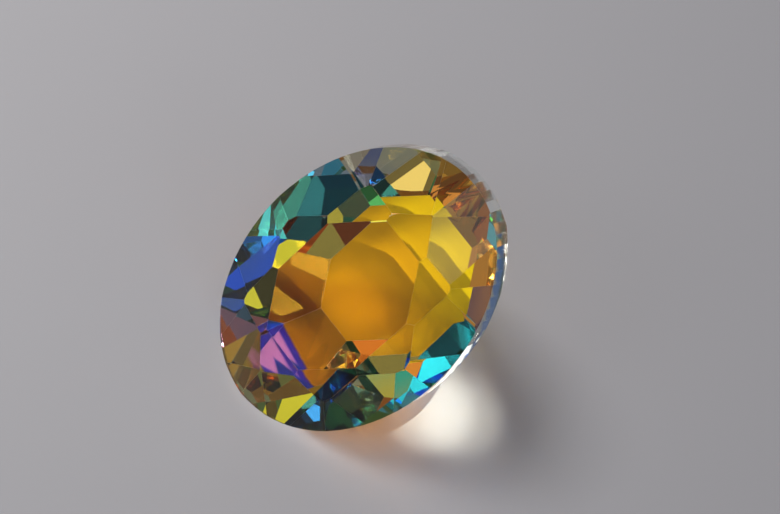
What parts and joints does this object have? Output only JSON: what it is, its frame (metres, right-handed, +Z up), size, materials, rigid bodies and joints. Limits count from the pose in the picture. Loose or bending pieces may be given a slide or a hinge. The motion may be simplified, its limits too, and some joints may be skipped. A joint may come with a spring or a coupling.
{
  "type": "faceted oval crystal gemstone",
  "caption": "Oval faceted clear crystal with a rainbow coating on its deep back, lying tilted on one back facet.",
  "frame": {"origin": "bottom centre of the bounding box, at the surface the stone rests on", "axes": "+Z up from the resting facet; the large front facet leans up and towards -Y; X runs across the stone's short axis"},
  "size_m": [0.018, 0.0194, 0.0199],
  "materials": {
    "coated_crystal": "polished flat facets, clear in front, with a thin gold, blue, violet and green interference coating on the back facets"
  },
  "bodies": {
    "root": {"stone": "coated_crystal"}
  },
  "joints": []
}
